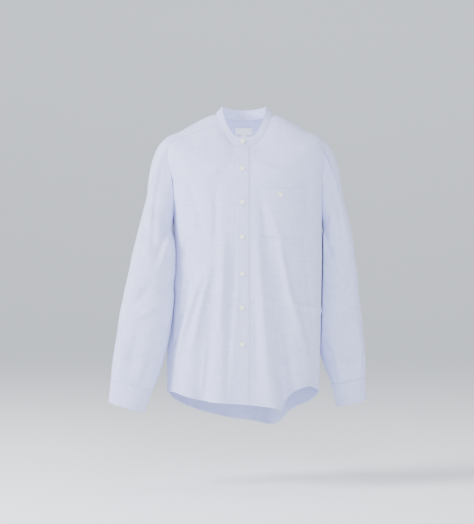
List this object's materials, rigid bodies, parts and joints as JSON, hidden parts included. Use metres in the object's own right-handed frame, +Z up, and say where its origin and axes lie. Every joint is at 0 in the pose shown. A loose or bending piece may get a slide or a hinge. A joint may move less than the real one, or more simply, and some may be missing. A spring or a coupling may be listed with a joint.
{
  "type": "mandarin collar shirt",
  "caption": "Long sleeved cotton shirt with a stand collar, button placket and chest pocket, filled out and hollow, with a curved hem lower at the back.",
  "frame": {"origin": "centre of the neck base, level with the top of the shoulders, where a wearer holds the shirt up", "axes": "+Z up along the body, -Y out of the shirt's front, +X to the wearer's left"},
  "size_m": [0.6444, 0.2341, 0.8035],
  "materials": {
    "cloth": "matte",
    "button": "satin",
    "label": "satin"
  },
  "bodies": {
    "root": {"back": "cloth", "yoke": "cloth", "front_left": "cloth", "front_right": "cloth", "placket": "cloth", "chest_pocket": "cloth", "collar_band": "cloth", "sleeve_left": "cloth", "sleeve_right": "cloth", "sleeve_placket_left": "cloth", "sleeve_placket_right": "cloth", "cuff_left": "cloth", "cuff_right": "cloth", "neck_label": "label", "size_tab": "label", "button_collar": "button", "button_front_1": "button", "button_front_2": "button", "button_front_3": "button", "button_front_4": "button", "button_front_5": "button", "button_front_6": "button", "button_pocket": "button", "button_cuff_left": "button", "button_cuff_right": "button"}
  },
  "joints": []
}
